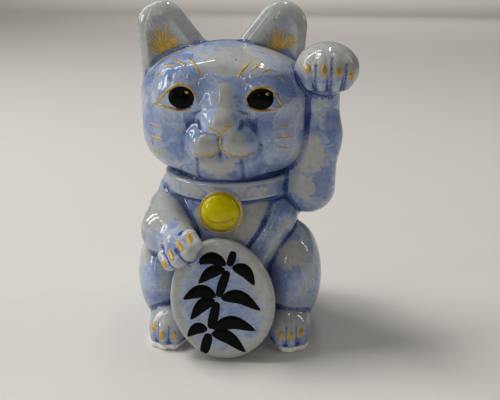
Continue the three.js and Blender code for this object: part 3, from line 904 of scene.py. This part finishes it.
# ---- bamboo spray painted on the plaque ----
STALK = (
    (((-8.5, 3.5), (-7, 8.5), (-5.8, 13.5)), 4.8), (((-5.2, 15.5), (-3.7, 21.5), (-2.2, 28.5)), 4.6),
    (((-1.6, 30.5), (0.4, 37), (2.6, 43)), 4.4), (((3.2, 45), (4.4, 48.5), (5.2, 52)), 3.8),
)
LEAVES = (
    (((2, 45.5), (-5, 48.5), (-12, 45.5)), 5.8), (((1.5, 43.5), (-5, 42), (-11, 36.5)), 5.6),
    (((4.5, 44.5), (10.5, 43), (15, 36.5)), 6), (((-2.5, 30.8), (-10, 33), (-18, 29)), 6.2),
    (((-3, 29), (-9, 26.5), (-14.5, 19.5)), 6), (((-0.5, 30), (8, 31), (18, 25)), 6.4),
    (((-6.5, 15.2), (-11.5, 15.5), (-16, 11.5)), 5.4), (((-4.2, 15.5), (5, 19), (16, 15.5)), 6.4),
    (((-4.8, 13.5), (3, 12), (11.5, 5)), 6.2),
)
KOBAN_LEAN = math.tan(math.radians(KOBAN["lean"]))
KOBAN_DEPTH = KOBAN["centre"][1] - KOBAN["centre"][2] * KOBAN_LEAN
brushwork("enamel_bamboo_stalk", "koban", STALK, BLACK, "black_enamel", KOBAN_DEPTH, KOBAN_LEAN,
          thickness=0.28, fullness=0.25)
brushwork("enamel_bamboo_leaves", "koban", LEAVES, BLACK, "black_enamel", KOBAN_DEPTH, KOBAN_LEAN,
          thickness=0.25, fullness=0.75, swell=0.85)

# ---- foot plate ----
FOOT_LOOPS = ((2.8, 0.6), (2.6, 0), (1.7, 0), (0.8, 0), (0.3, 0.25), (0, 0.9))
VENT_LOOPS = ((0, 0.5), (0.5, 0), (2.3, 0), (2.8, 0.5))
STANDING = ("body", "left_haunch", "right_haunch", "left_foot", "right_foot", "tail")


def new_loop(bm, segments, z):
    """Adds a unit circle about the vent's axis, and gives its edges and its vertices' places."""
    place = Matrix.Translation((0, VENT_Y, z))
    made = bmesh.ops.create_circle(bm, segments=segments, radius=1, matrix=place)
    edges = list({edge for vert in made["verts"] for edge in vert.link_edges})
    return edges, coordinates(bm)[-segments:]


def make_base():
    bm = bmesh.new()
    outline = joined_field(STANDING)
    loops, points = [], []
    for z, inset in FOOT_LOOPS:
        edges, ring = new_loop(bm, BASE_SEGMENTS, z)
        loops.append(edges)
        middle = vec((0, VENT_Y, z))
        ring = settle(ring, np.broadcast_to(middle, ring.shape), outline, REACH)
        outward = ring - middle
        points.append(ring - inset * outward / np.linalg.norm(outward, axis=1)[:, None])
    for z, widening in VENT_LOOPS:
        edges, ring = new_loop(bm, BASE_SEGMENTS, z)
        loops.append(edges)
        middle = vec((0, VENT_Y, z))
        points.append(middle + (ring - middle) * (VENT_RADIUS + widening))
    for first, second in zip(loops, loops[1:] + loops[:1]):
        bmesh.ops.bridge_loops(bm, edges=first + second)
    bmesh.ops.recalc_face_normals(bm, faces=bm.faces[:])
    new_piece("bisque_foot_plate", bm, np.vstack(points), BISQUE, "unglazed", "base")


make_base()

# ---- studio ----
FLOOR_COLOUR = (0.60, 0.575, 0.535)
FLOOR_HALF_WIDTH = 8  # metres


def area_light(name, place, aim, width, height, power, colour=(1, 1, 1), mirrored=True):
    """A soft light, sized in millimetres. One that isn't mirrored leaves no reflection in the glaze."""
    light = bpy.data.lights.new(name, "AREA")
    light.shape = "RECTANGLE"
    light.size, light.size_y = width * MM, height * MM
    light.energy = power
    light.color = colour
    lamp = bpy.data.objects.new(name, light)
    lamp.location = Vector(place) * MM
    lamp.rotation_euler = (Vector(place) - Vector(aim)).to_track_quat("Z", "Y").to_euler()
    lamp.visible_glossy = mirrored
    bpy.context.scene.collection.objects.link(lamp)


WARM, COOL, WALL = (1, 0.99, 0.97), (0.97, 0.985, 1), (1, 0.98, 0.93)
area_light("ceiling", (-600, 240, 1500), (0, 0, 60), 500, 420, 14, WARM, False)
area_light("front_fill", (-200, -1900, 500), (0, 0, 60), 1600, 900, 7, WARM, False)
area_light("front_strip", (-260, -1480, 900), (0, 0, 90), 16, 700, 0.45)
for pane, across in (("near", 120), ("far", 420)):
    area_light("window_" + pane, (-1500, across, 1000), (0, across / 4, 60), 150, 1200, 4.5, COOL)
area_light("side_fill", (1900, 300, 600), (0, 0, 60), 1200, 900, 4, WARM, False)
area_light("back_fill", (200, 2000, 700), (0, 0, 60), 1200, 900, 4, WARM, False)
area_light("right_strip", (1250, 350, 750), (40, 0, 90), 50, 700, 1.2)
area_light("left_window", (-1400, -420, 480), (0, 0, 70), 260, 420, 2.6, COOL)
area_light("overhead_tube", (170, 160, 1300), (170, 0, 60), 34, 420, 1.5)
area_light("far_wall_light", (0, 3300, 1500), (0, 3300, 0), 3000, 900, 30, WALL, False)
area_light("tube_left", (-640, -60, 1100), (0, -60, 80), 30, 380, 1.3)
area_light("tube_right", (-330, 60, 1150), (0, 60, 80), 30, 300, 1.0)
area_light("tall_strip", (-900, -900, 560), (0, 0, 90), 40, 1000, 1.2)

floor_mesh = bmesh.new()
bmesh.ops.create_grid(floor_mesh, x_segments=1, y_segments=1, size=FLOOR_HALF_WIDTH)
mesh = bpy.data.meshes.new("floor")
floor_mesh.to_mesh(mesh)
floor_mesh.free()
floor = bpy.data.objects.new("floor", mesh)
bpy.context.scene.collection.objects.link(floor)
floor_material, _, floor_shader = new_material("Floor", Roughness=0.7)
floor_shader.inputs["Base Color"].default_value = (*FLOOR_COLOUR, 1)
mesh.materials.append(floor_material)

world = bpy.data.worlds.new("Room")
world.use_nodes = True
background = world.node_tree.nodes["Background"].inputs
background["Color"].default_value = (0.86, 0.87, 0.88, 1)
background["Strength"].default_value = 0.04
scene = bpy.context.scene
scene.world = world
scene.view_settings.view_transform = "Standard"

# ---- camera ----
AIM = Vector((9.4, 0, 63))
DISTANCE = 372
FOCAL_LENGTH, SENSOR_WIDTH = 53.3, 36
TURN, RISE = math.radians(4.5), math.radians(18)
lens = bpy.data.cameras.new("camera")
lens.lens = FOCAL_LENGTH
lens.sensor_width = SENSOR_WIDTH
camera = bpy.data.objects.new("camera", lens)
back = Vector((math.sin(TURN) * math.cos(RISE), -math.cos(TURN) * math.cos(RISE), math.sin(RISE)))
camera.location = (AIM + back * DISTANCE) * MM
camera.rotation_euler = back.to_track_quat("Z", "Y").to_euler()
scene.collection.objects.link(camera)
scene.camera = camera
